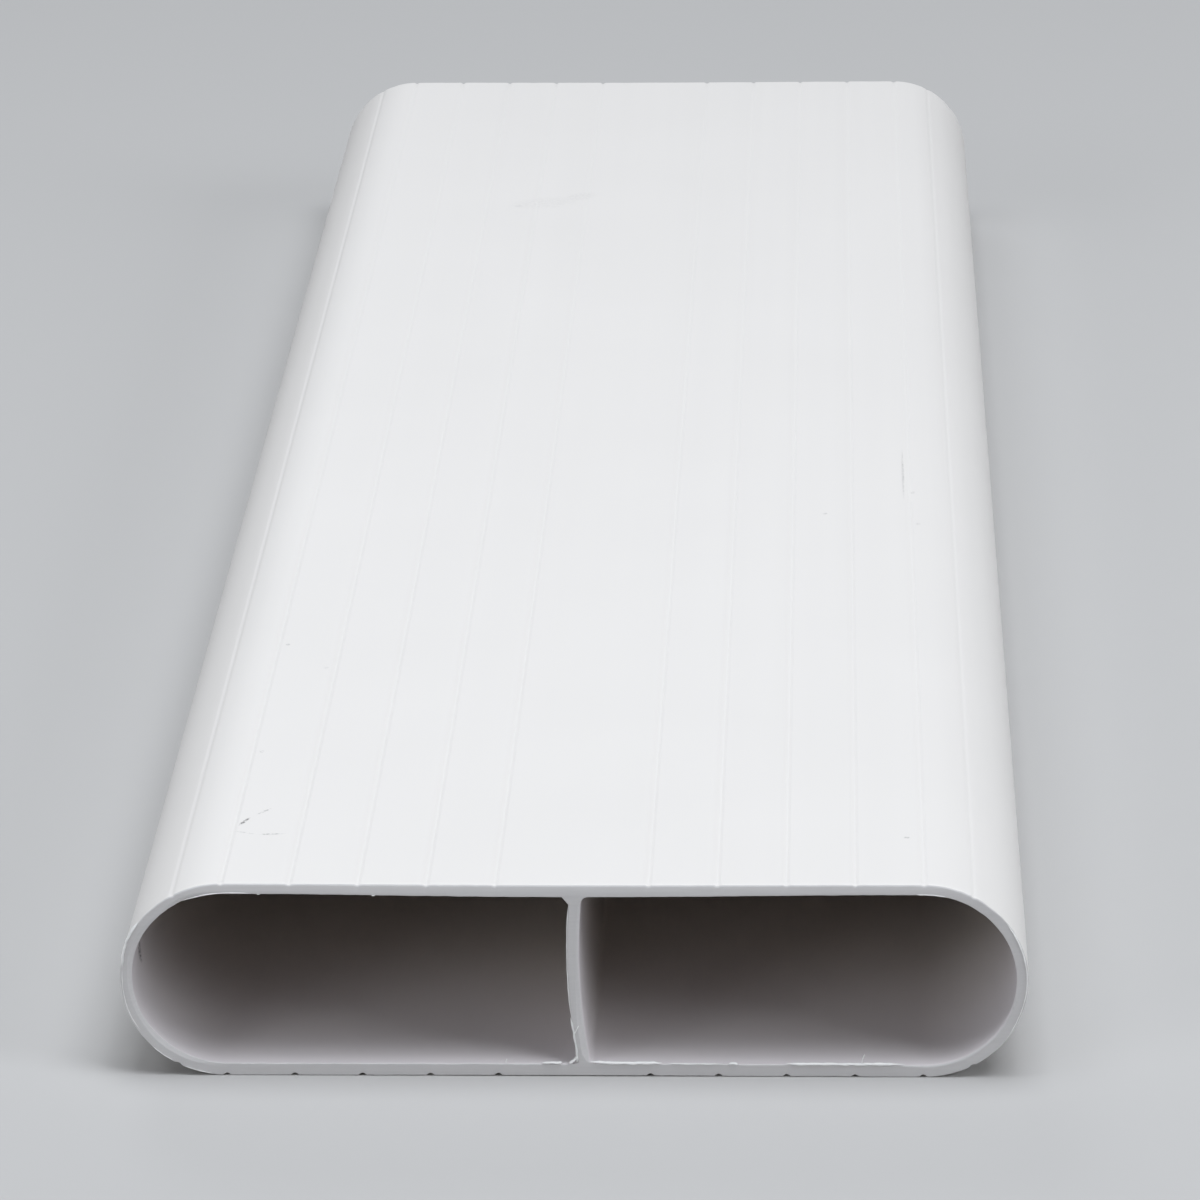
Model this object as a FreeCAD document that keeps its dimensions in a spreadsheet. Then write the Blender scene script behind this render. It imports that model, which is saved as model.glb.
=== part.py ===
"""Flat channel duct: a cut length of white rigid PVC profile for ventilation air.

The profile is extruded through a die in one piece and sawn to length. Its section is a wide flat oval
split into two channels by a web, with fine grooves along the outside. The duct lies flat: X runs across,
Y along its length, Z up, and the origin is under its middle, at floor height.
"""
import FreeCAD
import Part
import Sketcher
import os

SIZES = (
    ("duct_width", 150.0, "outside width of the flat oval"),
    ("duct_height", 34.5, "outside height, also the diameter of the round sides"),
    ("duct_length", 500.0, "sawn length"),
    ("wall_thickness", 2.0, "shell all round"),
    ("web_thickness", 2.0, "web between the two channels"),
    ("web_head", 0.55, "how far the head of the web stands right of the middle"),
    ("web_foot", 1.7, "how far the foot of the web stands right of the middle"),
    ("web_bow", 1.0, "how far the middle of the web bends to the left as the profile cools"),
    ("head_radius", 1.4, "fillet each side of the head of the web"),
    ("foot_radius", 0.6, "fillet each side of the foot of the web"),
    ("groove_width", 1.2, "groove at the surface"),
    ("groove_floor", 0.3, "narrow flat at the bottom of a groove"),
    ("groove_depth", 0.45, "groove below the surface"),
    ("first_groove", 12.6, "groove nearest the middle, from the middle"),
    ("grooves_per_half", 5, "grooves on each half of a flat side, the last where the round side begins"),
    ("shoulder_angle", 28.0, "turn of the shoulder groove round the side, from the flat"),
)

doc = FreeCAD.newDocument("flat_channel_duct")

# Driving sizes, in millimetres and degrees
sizes = doc.addObject("Spreadsheet::Sheet", "sizes")
for row, (alias, value, meaning) in enumerate(SIZES, start=1):
    sizes.set(f"A{row}", meaning)
    sizes.set(f"B{row}", str(value))
    sizes.setAlias(f"B{row}", alias)
doc.recompute()

# The section is drawn about the middle of the profile, which lies half its height above the floor
duct = doc.addObject("PartDesign::Body", "duct")
duct.Label = "duct"
duct.setExpression("Placement.Base.z", "sizes.duct_height / 2")
planes = {feature.Role: feature for feature in duct.Origin.OriginFeatures}

# Points of a sketch element, and the sketch's own horizontal axis, which starts at the origin
START, END, CENTRE = range(1, 4)
ACROSS = -1
ORIGIN = (ACROSS, START)


def section_sketch(name):
    """An empty sketch across the duct: its x is the duct's X and its y is the duct's Z."""
    sketch = duct.newObject("Sketcher::SketchObject", name)
    sketch.AttachmentSupport = (planes["XZ_Plane"], [""])
    sketch.MapMode = "FlatFace"
    return sketch


def line(sketch, start, end):
    """A straight edge between two points of the sketch."""
    return sketch.addGeometry(Part.LineSegment(FreeCAD.Vector(*start, 0), FreeCAD.Vector(*end, 0)))


def arc(sketch, start, middle, end):
    """A round edge through three points of the sketch. Its ends run anticlockwise."""
    points = [FreeCAD.Vector(*point, 0) for point in (start, middle, end)]
    return sketch.addGeometry(Part.Arc(*points))


def constrain(sketch, kind, *where):
    """A geometric constraint with no size of its own."""
    sketch.addConstraint(Sketcher.Constraint(kind, *where))


def dimension(sketch, name, kind, where, start, size):
    """A named dimension that starts near its value and follows an expression of the driving sizes."""
    index = sketch.addConstraint(Sketcher.Constraint(kind, *where, start))
    sketch.renameConstraint(index, name)
    sketch.setExpression(f"Constraints.{name}", size)


def along_length(name, kind, sketch):
    """Pads or pockets a section along the whole length, half of it each way from the middle."""
    feature = duct.newObject(kind, name)
    feature.Profile = sketch
    feature.Type = "Length"
    feature.SideType = "Symmetric"
    feature.setExpression("Length", "sizes.duct_length")
    doc.recompute()
    return feature


# Outside of the profile: two flats joined by two half rounds
half_flat = (sizes.duct_width - sizes.duct_height) / 2
half_height = sizes.duct_height / 2
outline = section_sketch("outline")
top = line(outline, (-half_flat, half_height), (half_flat, half_height))
base = line(outline, (-half_flat, -half_height), (half_flat, -half_height))
right = arc(outline, (half_flat, -half_height), (half_flat + half_height, 0), (half_flat, half_height))
left = arc(outline, (-half_flat, half_height), (-half_flat - half_height, 0), (-half_flat, -half_height))
constrain(outline, "Tangent", top, END, right, END)
constrain(outline, "Tangent", base, END, right, START)
constrain(outline, "Tangent", top, START, left, START)
constrain(outline, "Tangent", base, START, left, END)
constrain(outline, "PointOnObject", left, CENTRE, ACROSS)
constrain(outline, "Symmetric", left, CENTRE, right, CENTRE, *ORIGIN)
constrain(outline, "Equal", left, right)
dimension(outline, "side_radius", "Radius", (right,), half_height, "sizes.duct_height / 2")
dimension(outline, "flat_width", "DistanceX", (left, CENTRE, right, CENTRE), 2 * half_flat,
          "sizes.duct_width - sizes.duct_height")
along_length("profile", "PartDesign::Pad", outline)
solid_volume = duct.Shape.Volume

# Two air channels, one each side of the bowed web
half_bore = half_height - sizes.wall_thickness
half_web = sizes.web_thickness / 2
web_middle = (sizes.web_head + sizes.web_foot) / 2 - sizes.web_bow
channels = section_sketch("channels")
for name, side in (("right", 1), ("left", -1)):
    head = sizes.web_head + side * half_web
    foot = sizes.web_foot + side * half_web
    middle = web_middle + side * half_web
    roof = line(channels, (head, half_bore), (side * half_flat, half_bore))
    floor = line(channels, (foot, -half_bore), (side * half_flat, -half_bore))
    crown = (side * (half_flat + half_bore), 0)
    if side > 0:
        outer = arc(channels, (half_flat, -half_bore), crown, (half_flat, half_bore))
        roof_end, floor_end = END, START
    else:
        outer = arc(channels, (-half_flat, half_bore), crown, (-half_flat, -half_bore))
        roof_end, floor_end = START, END
    web = arc(channels, (head, half_bore), (middle, 0), (foot, -half_bore))
    bow = channels.addGeometry(Part.Point(FreeCAD.Vector(middle, 0, 0)), True)
    constrain(channels, "Tangent", roof, END, outer, roof_end)
    constrain(channels, "Tangent", floor, END, outer, floor_end)
    constrain(channels, "Horizontal", roof)
    constrain(channels, "Horizontal", floor)
    constrain(channels, "PointOnObject", outer, CENTRE, ACROSS)
    constrain(channels, "Coincident", web, START, roof, START)
    constrain(channels, "Coincident", web, END, floor, START)
    constrain(channels, "PointOnObject", bow, START, ACROSS)
    constrain(channels, "PointOnObject", bow, START, web)
    dimension(channels, f"{name}_bore", "Radius", (outer,), half_bore,
              "sizes.duct_height / 2 - sizes.wall_thickness")
    dimension(channels, f"{name}_flat", "DistanceX", (*ORIGIN, outer, CENTRE), side * half_flat,
              f"{side} * (sizes.duct_width - sizes.duct_height) / 2")
    dimension(channels, f"{name}_head", "DistanceX", (*ORIGIN, roof, START), head,
              f"sizes.web_head + {side} * sizes.web_thickness / 2")
    dimension(channels, f"{name}_foot", "DistanceX", (*ORIGIN, floor, START), foot,
              f"sizes.web_foot + {side} * sizes.web_thickness / 2")
    dimension(channels, f"{name}_bow", "DistanceX", (*ORIGIN, bow, START), middle,
              f"(sizes.web_head + sizes.web_foot) / 2 - sizes.web_bow + {side} * sizes.web_thickness / 2")
bores = along_length("bores", "PartDesign::Pocket", channels)
bored_volume = duct.Shape.Volume


def web_corners(side):
    """Names the edges along the head of the web, for side 1, or along its foot, for side -1."""
    names = []
    for number, edge in enumerate(duct.Shape.Edges, start=1):
        place = edge.CenterOfMass - duct.Placement.Base
        lengthwise = edge.BoundBox.YLength > sizes.wall_thickness
        if lengthwise and abs(place.x) < half_flat / 2 and side * place.z > 0:
            names.append(f"Edge{number}")
    return names


# Fillets in the corners between the web and the shell, wider at the head of the web than at its foot
solid = bores
for end, side in (("head", 1), ("foot", -1)):
    fillet = duct.newObject("PartDesign::Fillet", f"{end}_fillets")
    fillet.Base = (solid, web_corners(side))
    fillet.setExpression("Radius", f"sizes.{end}_radius")
    doc.recompute()
    solid = fillet
filleted_volume = duct.Shape.Volume


def groove_sketch(name):
    """A shallow groove with sloping flanks, drawn on the crown of a half round about the sketch's origin."""
    sketch = section_sketch(name)
    lid = sizes.groove_width - sizes.groove_floor / 2
    slot = sizes.groove_floor / 2
    above = half_height + sizes.groove_depth
    below = half_height - sizes.groove_depth
    corners = ((-lid, above), (lid, above), (slot, below), (-slot, below))
    sides = [line(sketch, corners[i], corners[(i + 1) % len(corners)]) for i in range(len(corners))]
    for i, side in enumerate(sides):
        constrain(sketch, "Coincident", side, END, sides[(i + 1) % len(sides)], START)
    constrain(sketch, "Horizontal", sides[0])
    constrain(sketch, "Horizontal", sides[2])
    half_lid = "sizes.groove_width - sizes.groove_floor / 2"
    dimension(sketch, "lid_left", "DistanceX", (sides[0], START, *ORIGIN), lid, half_lid)
    dimension(sketch, "lid_right", "DistanceX", (*ORIGIN, sides[0], END), lid, half_lid)
    dimension(sketch, "slot_right", "DistanceX", (*ORIGIN, sides[2], START), slot, "sizes.groove_floor / 2")
    dimension(sketch, "slot_left", "DistanceX", (sides[2], END, *ORIGIN), slot, "sizes.groove_floor / 2")
    dimension(sketch, "lid_height", "DistanceY", (*ORIGIN, sides[0], START), above,
              "sizes.duct_height / 2 + sizes.groove_depth")
    dimension(sketch, "slot_height", "DistanceY", (*ORIGIN, sides[2], START), below,
              "sizes.duct_height / 2 - sizes.groove_depth")
    return sketch


def mirrored(name, plane):
    """A mirror step of a groove pattern."""
    step = doc.addObject("PartDesign::Mirrored", name)
    step.MirrorPlane = (planes[plane], [""])
    return step


def spread(name, groove, steps):
    """Repeats a groove through the given steps and makes the result the duct's last feature."""
    pattern = duct.newObject("PartDesign::MultiTransform", name)
    pattern.Originals = [groove]
    pattern.Transformations = steps
    duct.Tip = pattern
    doc.recompute()


# Grooves along the flats: a row from near the middle to the start of the round side, on all four halves
flat_profile = groove_sketch("flat_profile")
flat_profile.setExpression("AttachmentOffset.Base.x", "sizes.first_groove")
flat_groove = along_length("flat_groove", "PartDesign::Pocket", flat_profile)
row = doc.addObject("PartDesign::LinearPattern", "row")
row.Direction = (planes["X_Axis"], [""])
row.setExpression("Length", "(sizes.duct_width - sizes.duct_height) / 2 - sizes.first_groove")
row.setExpression("Occurrences", "sizes.grooves_per_half")
spread("flat_grooves", flat_groove,
       [row, mirrored("flat_other_half", "YZ_Plane"), mirrored("flat_base", "XY_Plane")])
rowed_volume = duct.Shape.Volume

# One more groove on each of the four shoulders, turned part of the way round the side
shoulder_profile = groove_sketch("shoulder_profile")
shoulder_profile.AttachmentOffset.Rotation.Axis = FreeCAD.Vector(0, 0, 1)
shoulder_profile.setExpression("AttachmentOffset.Base.x", "(sizes.duct_width - sizes.duct_height) / 2")
shoulder_profile.setExpression("AttachmentOffset.Rotation.Angle", "-sizes.shoulder_angle")
shoulder_groove = along_length("shoulder_groove", "PartDesign::Pocket", shoulder_profile)
spread("shoulder_grooves", shoulder_groove,
       [mirrored("shoulder_other_half", "YZ_Plane"), mirrored("shoulder_base", "XY_Plane")])

# Nothing is written unless every feature is sound and each step took away or added what it should
failed = [item.Name for item in doc.Objects if {"Invalid", "Error"} & set(item.State)]
if failed:
    raise RuntimeError(f"features not built: {failed}")
if duct.Shape.isNull() or not duct.Shape.isValid() or len(duct.Shape.Solids) != 1:
    raise RuntimeError("the duct is not one sound solid")
if not bored_volume < filleted_volume < solid_volume:
    raise RuntimeError("the channels or the fillets did not change the profile")
if not duct.Shape.Volume < rowed_volume < filleted_volume:
    raise RuntimeError("the grooves did not cut into the profile")

os.makedirs("parts", exist_ok=True)
duct.Shape.exportStep("parts/duct.step")
print("volume mm3", round(duct.Shape.Volume, 1), "faces", len(duct.Shape.Faces), duct.Shape.BoundBox)
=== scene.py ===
import math

import bmesh
import bpy
from mathutils import Matrix, Vector, noise


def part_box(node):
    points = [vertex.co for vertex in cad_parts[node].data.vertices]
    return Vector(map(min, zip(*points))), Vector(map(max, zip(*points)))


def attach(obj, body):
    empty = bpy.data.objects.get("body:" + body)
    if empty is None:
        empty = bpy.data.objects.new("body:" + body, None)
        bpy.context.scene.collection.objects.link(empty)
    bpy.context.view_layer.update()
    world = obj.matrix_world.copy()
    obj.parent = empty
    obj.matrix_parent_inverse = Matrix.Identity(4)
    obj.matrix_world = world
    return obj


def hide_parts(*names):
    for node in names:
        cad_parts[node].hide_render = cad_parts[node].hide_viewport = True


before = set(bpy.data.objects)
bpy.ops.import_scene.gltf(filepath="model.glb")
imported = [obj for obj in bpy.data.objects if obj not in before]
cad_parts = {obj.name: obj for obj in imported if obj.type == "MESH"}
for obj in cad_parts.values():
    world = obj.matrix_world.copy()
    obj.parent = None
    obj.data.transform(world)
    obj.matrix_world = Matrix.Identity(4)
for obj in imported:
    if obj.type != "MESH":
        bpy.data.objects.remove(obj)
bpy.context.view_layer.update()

# The duct is one length of rigid PVC profile, pushed hot through a die, cooled in water and sawn to length.
# A flat oval shell holds two channels, with a thin web between them that leaned and bowed as it cooled.
# Fine grooves run along the outside: ten on each flat side and one on each shoulder.
MM = 0.001
TINY = 0.001 * MM
LOWEST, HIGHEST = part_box("duct")
BURR_ROOM = 0.4 * MM
FRONT = LOWEST.y + BURR_ROOM
BACK = HIGHEST.y - BURR_ROOM
MID_HEIGHT = (LOWEST.z + HIGHEST.z) / 2
ROUND_RADIUS = (HIGHEST.z - LOWEST.z) / 2
HALF_FLAT = (HIGHEST.x - LOWEST.x) / 2 - ROUND_RADIUS
WALL = 2.0 * MM
ROOF = ROUND_RADIUS - WALL

FIRST_GROOVE = 12.6 * MM
GROOVES_PER_HALF = 5
GROOVE_WIDTH = 1.4 * MM
GROOVE_STEPS = 8
SHOULDER_ANGLE = math.radians(28)
SHOULDER_SHARE = 0.4


def sweep(edge, distance, steps=1):
    """Carries the edge across the wall along the section: straight on the flat, then round the side."""
    on_flat = max(v.co.x for v in edge.verts) < HALF_FLAT - TINY
    made = bmesh.ops.spin(
        duct_mesh, geom=[edge, *edge.verts], cent=(HALF_FLAT, FRONT, 0), axis=(0, 1, 0), steps=steps,
        dvec=(distance / steps if on_flat else 0, 0, 0), angle=0 if on_flat else distance / ROUND_RADIUS)
    return next(part for part in made["geom_last"] if isinstance(part, bmesh.types.BMEdge))


def groove(edge, share=1):
    """Carries the edge over one groove and marks how far its outer end sinks, along a soft valley."""
    for count in range(1, GROOVE_STEPS + 1):
        edge = sweep(edge, GROOVE_WIDTH / GROOVE_STEPS)
        outer = max(edge.verts, key=lambda v: v.co.z)
        outer[sunk] = share * (1 - math.cos(2 * math.pi * count / GROOVE_STEPS)) / 2
    return edge


# One quarter of the shell's section is drawn by carrying an edge across the wall, then mirrored.
CLEAR_OF_WEB = 6.0 * MM
MIDDLE_STEPS = 8
BETWEEN_STEPS = 13
SHOULDER_STEPS = 16
SIDE_STEPS = 40
duct_mesh = bmesh.new()
sunk = duct_mesh.verts.layers.float.new("groove")
channel = duct_mesh.verts.layers.float.new("channel")
start = [duct_mesh.verts.new((CLEAR_OF_WEB, FRONT, z)) for z in (ROUND_RADIUS, ROOF)]
across = duct_mesh.edges.new(start)
lip = GROOVE_WIDTH / 2
pitch = (HALF_FLAT - FIRST_GROOVE) / (GROOVES_PER_HALF - 1)
across = sweep(across, FIRST_GROOVE - lip - CLEAR_OF_WEB, MIDDLE_STEPS)
for count in range(GROOVES_PER_HALF - 1):
    across = groove(across)
    across = sweep(across, pitch - 2 * lip, BETWEEN_STEPS)
across = groove(across)
across = sweep(across, SHOULDER_ANGLE * ROUND_RADIUS - 2 * lip, SHOULDER_STEPS)
across = groove(across, SHOULDER_SHARE)
sweep(across, (math.pi / 2 - SHOULDER_ANGLE) * ROUND_RADIUS - lip, SIDE_STEPS)
for axis in "ZX":
    quarter = duct_mesh.verts[:] + duct_mesh.edges[:] + duct_mesh.faces[:]
    bmesh.ops.mirror(duct_mesh, geom=quarter, axis=axis, merge_dist=TINY)

# The web stands right of the middle at its head, further right at its foot, and bows to the left between.
WEB = 2.0 * MM
WEB_HEAD = 0.55 * MM
WEB_FOOT = 1.7 * MM
WEB_BOW = 1.0 * MM
WEB_STEPS = 24
HEAD_HEIGHT = 1.4 * MM
HEAD_CHAMFER = 1.2 * MM
HEAD_FILLET = 1.0 * MM
FOOT_FILLET = 0.6 * MM
FILLET_STEPS = 6


def web_middle(height):
    """How far the middle of the web stands from the middle of the duct at a height above mid-height."""
    rise = height / ROOF
    return (WEB_HEAD + WEB_FOOT) / 2 + (WEB_HEAD - WEB_FOOT) / 2 * rise - WEB_BOW * (1 - rise * rise)


# The shell is closed over the head and foot of the web, where the web with its fillets takes up one edge.
web_ends = []
for level, wide_left, wide_right in ((1, HEAD_CHAMFER, HEAD_FILLET), (-1, FOOT_FILLET, FOOT_FILLET)):
    middle = web_middle(level * ROOF)
    across = next(edge for edge in duct_mesh.edges
                  if all(abs(v.co.x - CLEAR_OF_WEB) < TINY and v.co.z * level > 0 for v in edge.verts))
    corners = []
    for stop in (middle + WEB / 2 + wide_right, middle - WEB / 2 - wide_left, -CLEAR_OF_WEB):
        across = sweep(across, stop - across.verts[0].co.x)
        corners.append(min(across.verts, key=lambda v: abs(v.co.z)))
    web_ends.append(duct_mesh.edges.get(corners[:2]))

# The web is drawn down from its head. There its left side is a plain chamfer and its right side a fillet,
# and it widens into two small fillets at its foot. A station is a height and the two sides' extra width.
stations = []
for count in range(1, FILLET_STEPS + 1):
    turn = math.pi / 2 * count / FILLET_STEPS
    drop = 1 - math.cos(turn)
    chamfer = HEAD_CHAMFER * (1 - drop)
    fillet = HEAD_FILLET * (1 - math.sin(turn))
    stations.append((ROOF - HEAD_HEIGHT * drop, chamfer, fillet))
plain = 2 * ROOF - HEAD_HEIGHT - FOOT_FILLET
stations += [(ROOF - HEAD_HEIGHT - plain * count / WEB_STEPS, 0, 0) for count in range(1, WEB_STEPS)]
for count in range(FILLET_STEPS, -1, -1):
    turn = math.pi / 2 * count / FILLET_STEPS
    fillet = FOOT_FILLET * (1 - math.sin(turn))
    stations.append((FOOT_FILLET * (1 - math.cos(turn)) - ROOF, fillet, fillet))
edge = web_ends[0]
for height, wide_left, wide_right in stations:
    made = bmesh.ops.extrude_edge_only(duct_mesh, edges=[edge])["geom"]
    left, right = sorted((v for v in made if isinstance(v, bmesh.types.BMVert)), key=lambda v: v.co.x)
    left.co = (web_middle(height) - WEB / 2 - wide_left, FRONT, height)
    right.co = (web_middle(height) + WEB / 2 + wide_right, FRONT, height)
    edge = duct_mesh.edges.get((left, right))
bmesh.ops.remove_doubles(duct_mesh, verts=duct_mesh.verts, dist=TINY)

# The section is drawn out to its length. A narrow strip is marked off at each end for the saw's work, then a
# wider one, and the rest is cut in four, so that the slope of the notches stays out of the grooves' shading.
SAWN_STRIP = 1.5 * MM
PLAIN_STRIP = 6 * MM
QUARTER = (BACK - FRONT) / 4
made = bmesh.ops.extrude_face_region(duct_mesh, geom=duct_mesh.faces[:])["geom"]
drawn_end = [part for part in made if isinstance(part, bmesh.types.BMVert)]
bmesh.ops.translate(duct_mesh, verts=drawn_end, vec=(0, BACK - FRONT, 0))
for strip in (FRONT + SAWN_STRIP, FRONT + PLAIN_STRIP, FRONT + QUARTER, FRONT + 2 * QUARTER,
              BACK - QUARTER, BACK - PLAIN_STRIP, BACK - SAWN_STRIP):
    whole = duct_mesh.verts[:] + duct_mesh.edges[:] + duct_mesh.faces[:]
    bmesh.ops.bisect_plane(duct_mesh, geom=whole, plane_co=(0, strip, 0), plane_no=(0, 1, 0))
bmesh.ops.recalc_face_normals(duct_mesh, faces=duct_mesh.faces)

# The grooves are pressed in, and those on the flats grow fainter towards the back. The saw breaks them out as
# notches at the ends, deepest along the base, and leaves its edges ragged, most of all halfway up the
# shoulders. The flats sank a little as they cooled, the top more than the base, and the die's core stood
# slightly high, so the roof is thinnest at the sides and hangs thicker over the web.
GROOVE_DEPTH = 0.19 * MM
BACK_DEPTH = 0.05 * MM
TOP_NOTCH = 0.18 * MM
SHOULDER_NOTCH = 0.5 * MM
FAR_NOTCH = 0.35 * MM
BASE_NOTCH = 0.42 * MM
EDGE_RAGGED = 0.08 * MM
SHOULDER_RAGGED = 0.16 * MM
RAGGED_LENGTH = 2.0 * MM
TOP_DISH = 0.15 * MM
BASE_DISH = 0.1 * MM
CORE_HIGH = 0.2 * MM
ROOF_SAG = 0.35 * MM
for vert in duct_mesh.verts:
    x, y, z = vert.co
    inward = Vector((max(-HALF_FLAT, min(HALF_FLAT, x)) - x, 0, -z))
    inside = inward.length < ROUND_RADIUS - WALL / 2
    inward.normalize()
    at_end = min(y - FRONT, BACK - y) < TINY
    on_flat = abs(x) < HALF_FLAT + GROOVE_WIDTH
    fading = (y - FRONT) / (BACK - FRONT) if on_flat else 0
    groove_depth = GROOVE_DEPTH + (BACK_DEPTH - GROOVE_DEPTH) * fading
    near_notch = TOP_NOTCH if on_flat else SHOULDER_NOTCH
    top_notch = near_notch if y < 0 else FAR_NOTCH
    notch = top_notch * vert[sunk] if z > 0 else BASE_NOTCH * math.sqrt(vert[sunk])
    vert.co += inward * (notch if at_end else groove_depth * vert[sunk])
    sinking = math.cos(math.pi / 2 * x / HALF_FLAT) ** 2 if abs(x) < HALF_FLAT else 0
    vert.co.z *= 1 - (TOP_DISH if z > 0 else BASE_DISH) / ROUND_RADIUS * sinking
    if inside:
        vert[channel] = 1
        vert.co.z += CORE_HIGH - ROOF_SAG * sinking * max(0, z / ROOF)
    if at_end:
        rise = 0 if inside else max(0, z / ROUND_RADIUS)
        ragged = EDGE_RAGGED + SHOULDER_RAGGED * 4 * rise ** 2 * (1 - rise ** 2)
        vert.co += inward * abs(noise.noise(vert.co / RAGGED_LENGTH)) * ragged
bmesh.ops.translate(duct_mesh, verts=duct_mesh.verts, vec=(0, 0, MID_HEIGHT))

# The cut faces look along the length, and are told from the walls by that.
SQUARE_ON = 0.9
WALL_FACE, CUT_FACE = 0, 1
for face in duct_mesh.faces:
    face.smooth = True
    face.material_index = CUT_FACE if abs(face.normal.y) > SQUARE_ON else WALL_FACE

# The front end was cleaned up with a knife, which scraped the outer edge of the top, the inner edge round
# the left channel, unevenly, and the right edge of the web, most of all near its foot.
NEAR = 0.05 * MM
LEAST_WIDTH = 0.5
MOST_REACH = 1.45


def scrape(edges, end_of, width, depth, share, crisp):
    """Cuts edges across the front end once each, moves the cut near one end and drops that end back.

    Where the knife hardly bites, the cut keeps the least share of the width. It never reaches further than
    the most halves of its edge, so that two scrapes on one wall stay apart.
    """
    made = bmesh.ops.subdivide_edges(duct_mesh, edges=edges, cuts=1)["geom_inner"]
    cuts = [part for part in made if isinstance(part, bmesh.types.BMVert)]
    for cut in cuts:
        end = min((edge.other_vert(cut) for edge in cut.link_edges), key=lambda vert: end_of(cut, vert))
        half = cut.co - end.co
        bite = share(end.co)
        reach = width * (LEAST_WIDTH + (1 - LEAST_WIDTH) * bite)
        cut.co = end.co + half.normalized() * min(reach, MOST_REACH * half.length)
        end.co.y += depth * bite
    for edge in {edge for cut in cuts for edge in cut.link_edges}:
        if crisp and edge.verts[0] in cuts and edge.verts[1] in cuts:
            edge.smooth = False


def outer_end(cut, vert):
    """Puts the end of a cut edge on the outside of the shell first, and the nearest of those."""
    return vert[channel], (vert.co - cut.co).length


def inner_end(cut, vert):
    """Puts the end of a cut edge in a channel first, and the nearest of those."""
    return -vert[channel], (vert.co - cut.co).length


def right_end(cut, vert):
    """Puts the end of a level cut edge on the right of the web first."""
    return abs(vert.co.z - cut.co.z) > NEAR, -vert.co.x


def crosses_wall(edge, share):
    """Whether an edge goes from the shell's outside towards a channel for more than a share of the way."""
    return abs(edge.verts[0][channel] - edge.verts[1][channel]) > share


WHOLE_WALL = 0.5
TOP_WIDTH = 1.3 * MM
TOP_BITE = 0.28 * MM
TOP_RUN_OUT = 1.6


def top_share(spot):
    """The top is scraped all along, and the scraping runs out on the shoulders."""
    beyond = max(0, abs(spot.x) - HALF_FLAT) / ROUND_RADIUS
    return max(0, 1 - TOP_RUN_OUT * beyond) if spot.z > MID_HEIGHT else 0


front_edges = [edge for edge in duct_mesh.edges if all(
    face.material_index == CUT_FACE and face.calc_center_median().y < 0 for face in edge.link_faces)]
around = [edge for edge in front_edges if crosses_wall(edge, WHOLE_WALL)]
scrape(around, outer_end, TOP_WIDTH, TOP_BITE, top_share, False)

HALF_WALL = 0.3
LEFT_WIDTH = 0.9 * MM
LEFT_BITE = 0.5 * MM
LEFT_ENTRY = 5 * MM
LEFT_RUN = 6 * MM
LEFT_MEAN = 0.55
LEFT_UNEVEN = 0.6


def left_share(spot):
    """The left channel's edge is trimmed unevenly, from nothing where its round begins."""
    entry = max(0, min(1, (-HALF_FLAT - spot.x) / LEFT_ENTRY))
    return entry * max(0, LEFT_MEAN + LEFT_UNEVEN * noise.noise(spot / LEFT_RUN))


# The scrape along the top left a vertex halfway across the wall, so these are the inner halves.
left_half = [edge for edge in duct_mesh.edges if all(
    v.co.y < FRONT + MM and v.co.x < -HALF_FLAT + TINY for v in edge.verts)
    and crosses_wall(edge, HALF_WALL) and any(v[channel] == 1 for v in edge.verts)]
scrape(left_half, inner_end, LEFT_WIDTH, LEFT_BITE, left_share, True)

WEB_WIDTH = 1.1 * MM
WEB_BITE = 0.7 * MM
WEB_LIGHTEST = 0.2
DEEPER_BELOW = 2 * MM
DEEPEST_AFTER = 9 * MM
HEAD_FADE = 3 * MM
FOOT_FADE = 1.5 * MM


def web_share(spot):
    """The web is scraped lightly at its head and deeply towards its foot, and fades out at both."""
    height = spot.z - MID_HEIGHT - CORE_HIGH
    deeper = max(0, min(1, (DEEPER_BELOW - height) / DEEPEST_AFTER))
    from_head = (ROOF - HEAD_HEIGHT - height) / HEAD_FADE
    from_foot = (height + ROOF - FOOT_FILLET / 2) / FOOT_FADE
    return max(0, min(1, from_head, from_foot)) * (WEB_LIGHTEST + (1 - WEB_LIGHTEST) * deeper)


across_web = [edge for edge in duct_mesh.edges if all(
    v.co.y < FRONT + MM and abs(v.co.x) < CLEAR_OF_WEB and v[channel] == 1
    and FOOT_FILLET / 2 - ROOF < v.co.z - MID_HEIGHT - CORE_HIGH < ROOF - HEAD_HEIGHT for v in edge.verts)
    and abs(edge.verts[0].co.x - edge.verts[1].co.x) > WEB / 2]
scrape(across_web, right_end, WEB_WIDTH, WEB_BITE, web_share, True)

# The cut edges are worn, and a Bevel modifier rounds each by its share of the most wear. The web's right edge
# and the outer edge of the top are worn most, and the channels' edges unevenly.
UPRIGHT = 0.7
TOP_FROM = 0.5
TOP_WITHIN = 0.4
EDGE_WEAR = 0.75 * MM
WEAR_RUN = 7 * MM
WEB_RIGHT_WEAR = 0.6
WEB_LEFT_WEAR = 0.25
OUTSIDE_WEAR = 0.3
TOP_WEAR = 0.25
CHANNEL_WEAR = 0.15
FLOOR_WEAR = 0.15
UNEVEN_WEAR = 0.25
RIGHT_WEAR = 0.4


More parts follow.
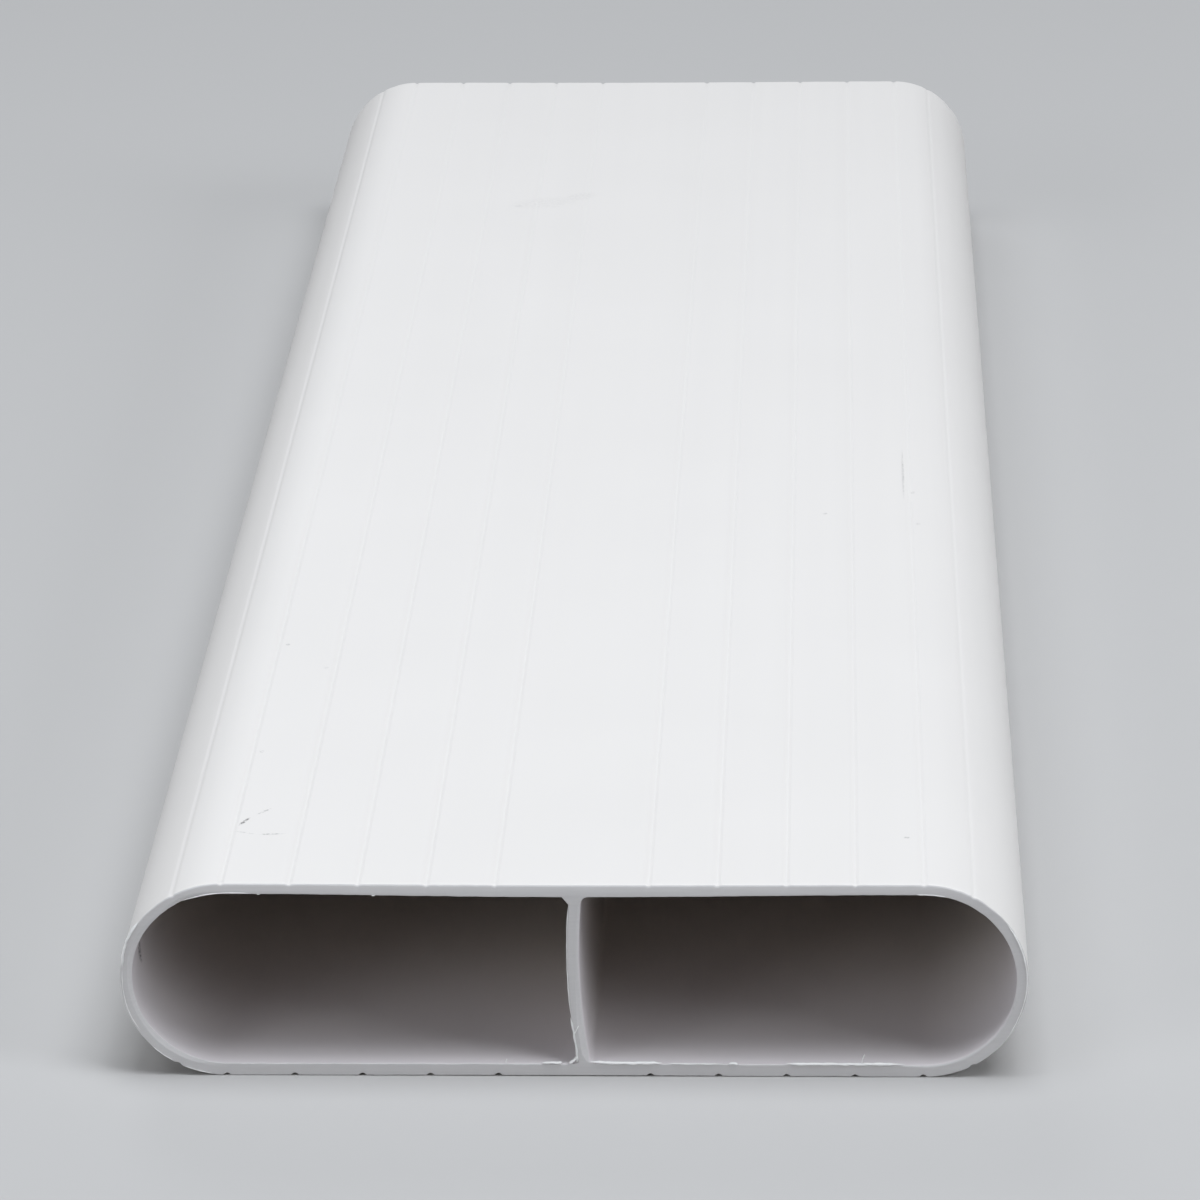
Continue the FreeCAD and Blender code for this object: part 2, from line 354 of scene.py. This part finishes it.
def worn(spot, normal):
    """The share of the most wear on a cut edge, by its place from mid-height and its wall's normal."""
    if abs(spot.x) < CLEAR_OF_WEB and abs(normal.x) > UPRIGHT:
        return WEB_RIGHT_WEAR if normal.x > 0 else WEB_LEFT_WEAR
    if normal.dot(spot) > 0:
        towards_top = max(0, min(1, (normal.z - TOP_FROM) / TOP_WITHIN))
        return OUTSIDE_WEAR + TOP_WEAR * towards_top
    if normal.z < 0:
        return CHANNEL_WEAR
    uneven = UNEVEN_WEAR * noise.noise(spot / WEAR_RUN)
    entry = max(0, min(1, (abs(spot.x) - HALF_FLAT + WEAR_RUN) / WEAR_RUN))
    if spot.x < 0:
        return CHANNEL_WEAR + (1 - entry) * (FLOOR_WEAR + uneven)
    return CHANNEL_WEAR + min(1, 2 * normal.z) * (FLOOR_WEAR + uneven + RIGHT_WEAR * entry)


wear = duct_mesh.edges.layers.float.new("bevel_weight_edge")
for edge in duct_mesh.edges:
    wall, cut = sorted(edge.link_faces, key=lambda f: f.material_index)
    if wall.material_index != cut.material_index:
        middle = (edge.verts[0].co + edge.verts[1].co) / 2
        edge[wear] = worn(middle - Vector((0, 0, MID_HEIGHT)), Vector((wall.normal.x, 0, wall.normal.z)))

duct_data = bpy.data.meshes.new("duct_profile")
duct_mesh.to_mesh(duct_data)
duct_mesh.free()
duct = bpy.data.objects.new("duct_profile", duct_data)
bpy.context.scene.collection.objects.link(duct)
rounding = duct.modifiers.new("worn_edges", "BEVEL")
rounding.limit_method = "WEIGHT"
rounding.width = EDGE_WEAR
rounding.segments = 4
rounding.profile = 0.5
rounding.use_clamp_overlap = False
rounding.harden_normals = True


def linear(code):
    """The linear colour of an sRGB hex value."""
    parts = [int(code[i:i + 2], 16) / 255 for i in (1, 3, 5)]
    return [p / 12.92 if p <= 0.04045 else ((p + 0.055) / 1.055) ** 2.4 for p in parts] + [1]


def add(material, kind, settings=(), **links):
    """Adds a node with its settings, and links or sets its inputs by name, with _ for a space."""
    node = material.node_tree.nodes.new(kind)
    for name, value in dict(settings).items():
        setattr(node, name, value)
    for name, value in links.items():
        socket = next(s for s in node.inputs if s.identifier == name or s.name == name.replace("_", " "))
        if isinstance(value, bpy.types.NodeSocket):
            material.node_tree.links.new(value, socket)
        else:
            socket.default_value = value
    return node


# White PVC as it left the die: milky white and half dull, with faint lines drawn along the length,
# slow clouds in its tone, grey rub marks and one dark streak, and painted shade inside the channels
# that makes the white there greyer and warmer, most of all from 50 mm in from either end.
PVC_IOR = 1.53
extruded = bpy.data.materials.new("white PVC as extruded")
extruded.use_nodes = True
extruded.node_tree.nodes.clear()
place = add(extruded, "ShaderNodeTexCoord").outputs["Object"]
DIE_LINE = 1.6 * MM
DRAWN_OUT = 250
drawn = add(extruded, "ShaderNodeMapping", Vector=place, Scale=(1, 1 / DRAWN_OUT, 1)).outputs["Vector"]
die_lines = add(extruded, "ShaderNodeTexNoise", Vector=drawn, Scale=1 / DIE_LINE, Detail=3.0).outputs["Fac"]
CLOUD = 40 * MM
clouds = add(extruded, "ShaderNodeTexNoise", Vector=place, Scale=1 / CLOUD, Detail=2.0).outputs["Fac"]
white = add(extruded, "ShaderNodeMix", {"data_type": "RGBA"}, Factor_Float=clouds,
            A_Color=linear("#E4E1DE"), B_Color=linear("#E7E4E1")).outputs["Result"]
# Painted shade: inside the channels the white turns greyer and warmer over the first 50 mm from each end.
PAINTED_SHADE_REACH = 50 * MM
along = add(extruded, "ShaderNodeSeparateXYZ", Vector=place).outputs["Y"]
along = add(extruded, "ShaderNodeMath", {"operation": "ABSOLUTE"}, Value=along).outputs["Value"]
depth = add(extruded, "ShaderNodeMapRange", Value=along,
            From_Min=BACK, From_Max=BACK - PAINTED_SHADE_REACH).outputs["Result"]
channel_painted_shade = add(extruded, "ShaderNodeMix", {"data_type": "RGBA"}, Factor_Float=depth,
             A_Color=linear("#DCD7D9"), B_Color=linear("#D5CDC6")).outputs["Result"]
within = add(extruded, "ShaderNodeAttribute", {"attribute_name": "channel"}).outputs["Fac"]
white = add(extruded, "ShaderNodeMix", {"data_type": "RGBA"}, Factor_Float=within,
            A_Color=white, B_Color=channel_painted_shade).outputs["Result"]

# Each mark is its middle, its half sizes and its turn, in millimetres and degrees, and how dark it is.
# It is that dark all over its inner half and fades out to its rim. Where marks meet, the darker one shows.
DARK_MARKS = (
    ((-56.2, -222.7, 34.2), (2.2, 0.42, 3), (0, 0, 66), 0.82),
    ((-53.3, -218.2, 34.2), (2.0, 0.35, 3), (0, 0, 51), 0.41),
    ((-51.2, -228.2, 34.2), (2.6, 0.32, 3), (0, 0, 5), 0.45),
    ((-55.6, -227.6, 34.2), (2.4, 0.28, 3), (0, 0, -22), 0.25),
    ((-27.8, 143.6, 34.3), (1.2, 1.2, 3), (0, 0, 0), 0.16),
    ((-22.0, 146.0, 34.3), (9.0, 5.0, 3), (0, 0, 20), 0.06),
    ((-14.5, 151.0, 34.3), (5.0, 3.0, 3), (0, 0, 40), 0.07),
    ((56.6, -43.0, 34.4), (16.0, 0.3, 3), (0, 0, 90), 0.33),
    ((58.4, -54.1, 34.4), (0.5, 0.8, 3), (0, 0, 0), 0.29),
    ((59.2, -72.2, 34.4), (0.5, 0.8, 3), (0, 0, 0), 0.29),
    ((41.4, -66.4, 34.4), (0.5, 0.8, 3), (0, 0, 0), 0.33),
    ((55.1, -229.3, 34.4), (0.6, 0.6, 3), (0, 0, 0), 0.33),
    ((-56.1, -138.0, 34.4), (0.5, 0.6, 3), (0, 0, 0), 0.37),
    ((-48.2, -149.8, 34.4), (0.6, 0.5, 3), (0, 0, 0), 0.25),
    ((-56.1, -190.7, 34.4), (0.5, 0.7, 3), (0, 0, 0), 0.25),
    # The last is a dark streak down the left channel's inner wall, near the front.
    ((-72.9, -237.6, 17.6), (1.2, 1.7, 3.4), (30, 0, 0), 1.0),
)
darkness = 0.0
for spot, half, turn, dark in DARK_MARKS:
    local = add(extruded, "ShaderNodeMapping", {"vector_type": "TEXTURE"}, Vector=place,
                Location=[v * MM for v in spot], Rotation=[math.radians(v) for v in turn],
                Scale=[v * MM for v in half]).outputs["Vector"]
    blob = add(extruded, "ShaderNodeTexGradient", {"gradient_type": "SPHERICAL"}, Vector=local).outputs["Fac"]
    shade = add(extruded, "ShaderNodeMath", {"operation": "MULTIPLY"}, Value=blob, Value_001=2 * dark)
    shade = add(extruded, "ShaderNodeMath", {"operation": "MINIMUM"},
                Value=shade.outputs["Value"], Value_001=dark)
    shade = add(extruded, "ShaderNodeMath", {"operation": "MAXIMUM"},
                Value=shade.outputs["Value"], Value_001=darkness)
    darkness = shade.outputs["Value"]
MARK_GRAIN = 0.5 * MM
grain = add(extruded, "ShaderNodeTexNoise", Vector=place, Scale=1 / MARK_GRAIN, Detail=2.0).outputs["Fac"]
patchy = add(extruded, "ShaderNodeMapRange", Value=grain, From_Min=0.4, From_Max=0.6).outputs["Result"]
darkness = add(extruded, "ShaderNodeMath", {"operation": "MULTIPLY"}, Value=darkness, Value_001=patchy)
tone = add(extruded, "ShaderNodeMix", {"data_type": "RGBA"}, Factor_Float=darkness.outputs["Value"],
           A_Color=white, B_Color=linear("#4A4846")).outputs["Result"]
gloss = add(extruded, "ShaderNodeMapRange", Value=die_lines, To_Min=0.5, To_Max=0.65).outputs["Result"]
relief = add(extruded, "ShaderNodeBump", Height=die_lines, Strength=0.2, Distance=0.02 * MM).outputs["Normal"]
shell = add(extruded, "ShaderNodeBsdfPrincipled", Base_Color=tone, Roughness=gloss,
            Normal=relief, IOR=PVC_IOR)
add(extruded, "ShaderNodeOutputMaterial", Surface=shell.outputs["BSDF"])

# White PVC as the saw left it: dull and chalky, with fine streaks across the cut. It is greyer than the
# walls, partly from the rough cut and partly as painted shade on the end faces.
sawn = bpy.data.materials.new("white PVC sawn")
sawn.use_nodes = True
sawn.node_tree.nodes.clear()
place = add(sawn, "ShaderNodeTexCoord").outputs["Object"]
SAW_LINE = 0.5 * MM
STREAK = 25
drawn = add(sawn, "ShaderNodeMapping", Vector=place, Scale=(1 / STREAK, 1, 1)).outputs["Vector"]
saw_lines = add(sawn, "ShaderNodeTexNoise", Vector=drawn, Scale=1 / SAW_LINE, Detail=3.0).outputs["Fac"]
tone = add(sawn, "ShaderNodeMix", {"data_type": "RGBA"}, Factor_Float=saw_lines,
           A_Color=linear("#D1CFCF"), B_Color=linear("#DBD9D9")).outputs["Result"]
relief = add(sawn, "ShaderNodeBump", Height=saw_lines, Strength=0.4, Distance=0.05 * MM).outputs["Normal"]
cut_face = add(sawn, "ShaderNodeBsdfPrincipled", Base_Color=tone, Roughness=0.7, Normal=relief, IOR=PVC_IOR)
add(sawn, "ShaderNodeOutputMaterial", Surface=cut_face.outputs["BSDF"])

duct_data.materials.append(extruded)
duct_data.materials.append(sawn)
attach(duct, "root")
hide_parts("duct")

# Burrs are the thin ragged threads of plastic that the saw pushed over the edges of its cut.
# They are the duct's own PVC, and cling along the foot of the channels, down the web, and round parts
# of the rim, at both ends.
BURR_GRAIN = 1.1 * MM
BURR_STEP = 0.12 * MM
BURR_SIDES = 6
FILM = 0.4
SWELL = 0.8
SWELL_UNEVEN = 0.3
WANDER = 0.3
TAPER = 8
OWN_PATTERN = 3
BURR_SEED = 3
noise.seed_set(BURR_SEED)
burr_mesh = bmesh.new()


def burr(end, thick, *points):
    """Leans a ragged film over an edge of an end through three points, given as x and z in millimetres.

    It faces outwards from the end and to the side that lies on the left of its course, seen from in front.
    """
    inwards = Vector((0, 1 if end < 0 else -1, 0))
    first, between, last = (Vector((x, 0, z)) * MM for x, z in points)
    bend = 2 * between - (first + last) / 2
    steps = max(4, int(((between - first).length + (last - between).length) / BURR_STEP))
    for vert in bmesh.ops.create_grid(burr_mesh, x_segments=steps, y_segments=BURR_SIDES, size=0.5)["verts"]:
        along = vert.co.x + 0.5
        roll = 2 * math.pi * vert.co.y
        middle = first * (1 - along) ** 2 + bend * 2 * along * (1 - along) + last * along ** 2
        heading = ((bend - first) * (1 - along) + (last - bend) * along).normalized()
        ragged = noise.noise_vector((middle + OWN_PATTERN * first + Vector((0, end, 0))) / BURR_GRAIN)
        tapered = max(0, min(1, TAPER * along, TAPER * (1 - along)))
        swell = tapered * (SWELL + SWELL_UNEVEN * ragged.x)
        beside = heading.cross(Vector((0, 1, 0)))
        middle += beside * WANDER * thick * MM * ragged.y + Vector((0, end, 0))
        leaning = (beside + inwards).normalized() * math.cos(roll)
        facing = (beside - inwards).normalized() * math.sin(roll) * FILM
        vert.co = middle + (leaning + facing) * swell * thick * MM


# Along the foot of the right channel, then of the left one.
burr(FRONT, 0.34, (2.6, 2.7), (8.7, 2.45), (14.6, 2.5))
burr(FRONT, 0.16, (15.5, 2.35), (20.0, 2.3), (24.5, 2.35))
burr(FRONT, 0.32, (25.5, 2.3), (26.3, 2.4), (27.1, 2.3))
burr(FRONT, 0.32, (34.9, 2.45), (44.0, 2.35), (54.8, 2.4))
burr(FRONT, 0.14, (47.6, 2.3), (47.7, 3.2), (48.1, 4.2))
burr(FRONT, 0.30, (-5.4, 2.45), (-3.5, 2.45), (-2.0, 2.5))
burr(FRONT, 0.12, (-11.3, 2.3), (-11.3, 2.7), (-11.1, 3.2))
# Down the left edge of the web, with a fork and a curl at its foot.
burr(FRONT, 0.32, (0.45, 2.2), (0.2, 6.2), (-0.55, 10.8))
burr(FRONT, 0.14, (-0.45, 10.8), (-0.97, 20.7), (-0.66, 30.6))
burr(FRONT, 0.16, (0.1, 7.7), (0.45, 8.4), (0.85, 9.2))
burr(FRONT, 0.36, (-0.95, 2.5), (0.0, 2.9), (0.4, 3.7))
# Round the rim, on the left and then on the right.
burr(FRONT, 0.34, (-74.5, 19.4), (-73.8, 23.6), (-71.5, 27.7))
burr(FRONT, 0.18, (-71.9, 8.2), (-74.1, 13.0), (-74.5, 19.2))
burr(FRONT, 0.18, (-60.1, 0.35), (-62.7, 0.93), (-64.9, 1.75))
burr(FRONT, 0.18, (-66.6, 2.65), (-68.3, 3.8), (-70.0, 5.25))
burr(FRONT, 0.18, (70.9, 28.2), (74.7, 17.5), (71.0, 6.4))
# Along the roofs of the channels.
burr(FRONT, 0.13, (-64.2, 31.4), (-58.6, 32.75), (-52.6, 32.72))
burr(FRONT, 0.13, (56.4, 32.72), (58.9, 32.72), (61.5, 32.3))
burr(FRONT, 0.12, (-51.8, 32.65), (-51.5, 32.6), (-51.2, 32.65))
burr(FRONT, 0.12, (-32.9, 32.48), (-32.6, 32.42), (-32.3, 32.48))
# At the back end.
burr(BACK, 0.32, (-52.0, 2.4), (-36.0, 2.35), (-20.0, 2.5))
burr(BACK, 0.32, (4.0, 2.5), (18.0, 2.45), (31.0, 2.45))
burr(BACK, 0.26, (1.6, 24.0), (1.3, 19.0), (1.5, 12.0))
burr(BACK, 0.18, (-71.0, 6.4), (-74.7, 17.5), (-70.9, 28.2))
bmesh.ops.remove_doubles(burr_mesh, verts=burr_mesh.verts, dist=TINY)
bmesh.ops.recalc_face_normals(burr_mesh, faces=burr_mesh.faces)
for face in burr_mesh.faces:
    face.smooth = True
burr_data = bpy.data.meshes.new("saw_burrs")
burr_mesh.to_mesh(burr_data)
burr_mesh.free()
burrs = bpy.data.objects.new("saw_burrs", burr_data)
bpy.context.scene.collection.objects.link(burrs)

# White PVC torn by the saw: stretched thin, which turns the plastic whiter, with a soft sheen. Its near-white
# tone is partly that whitening and partly a painted highlight along the burrs.
torn = bpy.data.materials.new("white PVC torn")
torn.use_nodes = True
torn.node_tree.nodes.clear()
place = add(torn, "ShaderNodeTexCoord").outputs["Object"]
TORN_GRAIN = 0.6 * MM
torn_grain = add(torn, "ShaderNodeTexNoise", Vector=place, Scale=1 / TORN_GRAIN, Detail=2.0).outputs["Fac"]
tone = add(torn, "ShaderNodeMix", {"data_type": "RGBA"}, Factor_Float=torn_grain,
           A_Color=linear("#F4F3F2"), B_Color=linear("#FEFEFD")).outputs["Result"]
thread = add(torn, "ShaderNodeBsdfPrincipled", Base_Color=tone, Roughness=0.35, IOR=PVC_IOR)
add(torn, "ShaderNodeOutputMaterial", Surface=thread.outputs["BSDF"])

burr_data.materials.append(torn)
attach(burrs, "root")

# The stage is a plain pale floor that the duct lies on: studio paper, dull and even.
floor_mesh = bmesh.new()
bmesh.ops.create_grid(floor_mesh, x_segments=1, y_segments=1, size=10.0)
bmesh.ops.translate(floor_mesh, verts=floor_mesh.verts, vec=(0, 0, LOWEST.z))
floor_data = bpy.data.meshes.new("floor")
floor_mesh.to_mesh(floor_data)
floor_mesh.free()
floor = bpy.data.objects.new("floor", floor_data)
bpy.context.scene.collection.objects.link(floor)
paper = bpy.data.materials.new("pale studio paper")
paper.use_nodes = True
paper.node_tree.nodes.clear()
sheet = add(paper, "ShaderNodeBsdfPrincipled", Base_Color=linear("#BEBDBC"), Roughness=0.9)
add(paper, "ShaderNodeOutputMaterial", Surface=sheet.outputs["BSDF"])
floor_data.materials.append(paper)

# Soft square lamps stand round the duct and look at its middle. Each is its place in metres and its watts.
LAMP_SIZE = 0.9
LAMPS = {
    "overhead": ((0.0, -0.05, 2.23), 21.0),
    "left_high": ((-0.95, -0.3, 1.95), 6.0),
    "right_high": ((0.71, -0.46, 2.07), 21.5),
    "left_low": ((-1.73, -1.05, 0.96), 4.5),
    "left_front": ((-1.5, -1.6, 0.6), 7.5),
    "right_side": ((1.86, -0.88, 0.95), 14.0),
    "behind": ((-0.6, 1.9, 1.4), 6.5),
}
for name, (spot, power) in LAMPS.items():
    lamp_data = bpy.data.lights.new(name, "AREA")
    lamp_data.shape = "SQUARE"
    lamp_data.size = LAMP_SIZE
    lamp_data.energy = power
    lamp_data.color = linear("#F6FAFF")[:3]
    lamp = bpy.data.objects.new(name, lamp_data)
    lamp.location = spot
    lamp.rotation_euler = (-Vector(spot)).to_track_quat("-Z", "Y").to_euler()
    bpy.context.scene.collection.objects.link(lamp)

# A weak even light from all round fills the shadows.
world = bpy.data.worlds.new("studio")
world.use_nodes = True
surround = world.node_tree.nodes["Background"]
surround.inputs["Color"].default_value = linear("#C4C5C6")
surround.inputs["Strength"].default_value = 0.03
bpy.context.scene.world = world

# The camera looks down the duct's length from in front, a little to the right and above.
CAMERA_PLACE = (0.042116, -1.148181, 0.414417)
PITCH, YAW, ROLL = (math.radians(angle) for angle in (20.1665, -2.3442, 0.8023))
camera_data = bpy.data.cameras.new("camera")
camera_data.lens = 178.68
camera_data.sensor_width = 36
camera = bpy.data.objects.new("camera", camera_data)
heading = Matrix.Rotation(-YAW, 4, "Z")
dip = Matrix.Rotation(math.pi / 2 - PITCH, 4, "X")
tilt = Matrix.Rotation(-ROLL, 4, "Z")
camera.matrix_world = Matrix.Translation(CAMERA_PLACE) @ heading @ dip @ tilt
bpy.context.scene.collection.objects.link(camera)
bpy.context.scene.camera = camera
bpy.context.scene.view_settings.view_transform = "Standard"
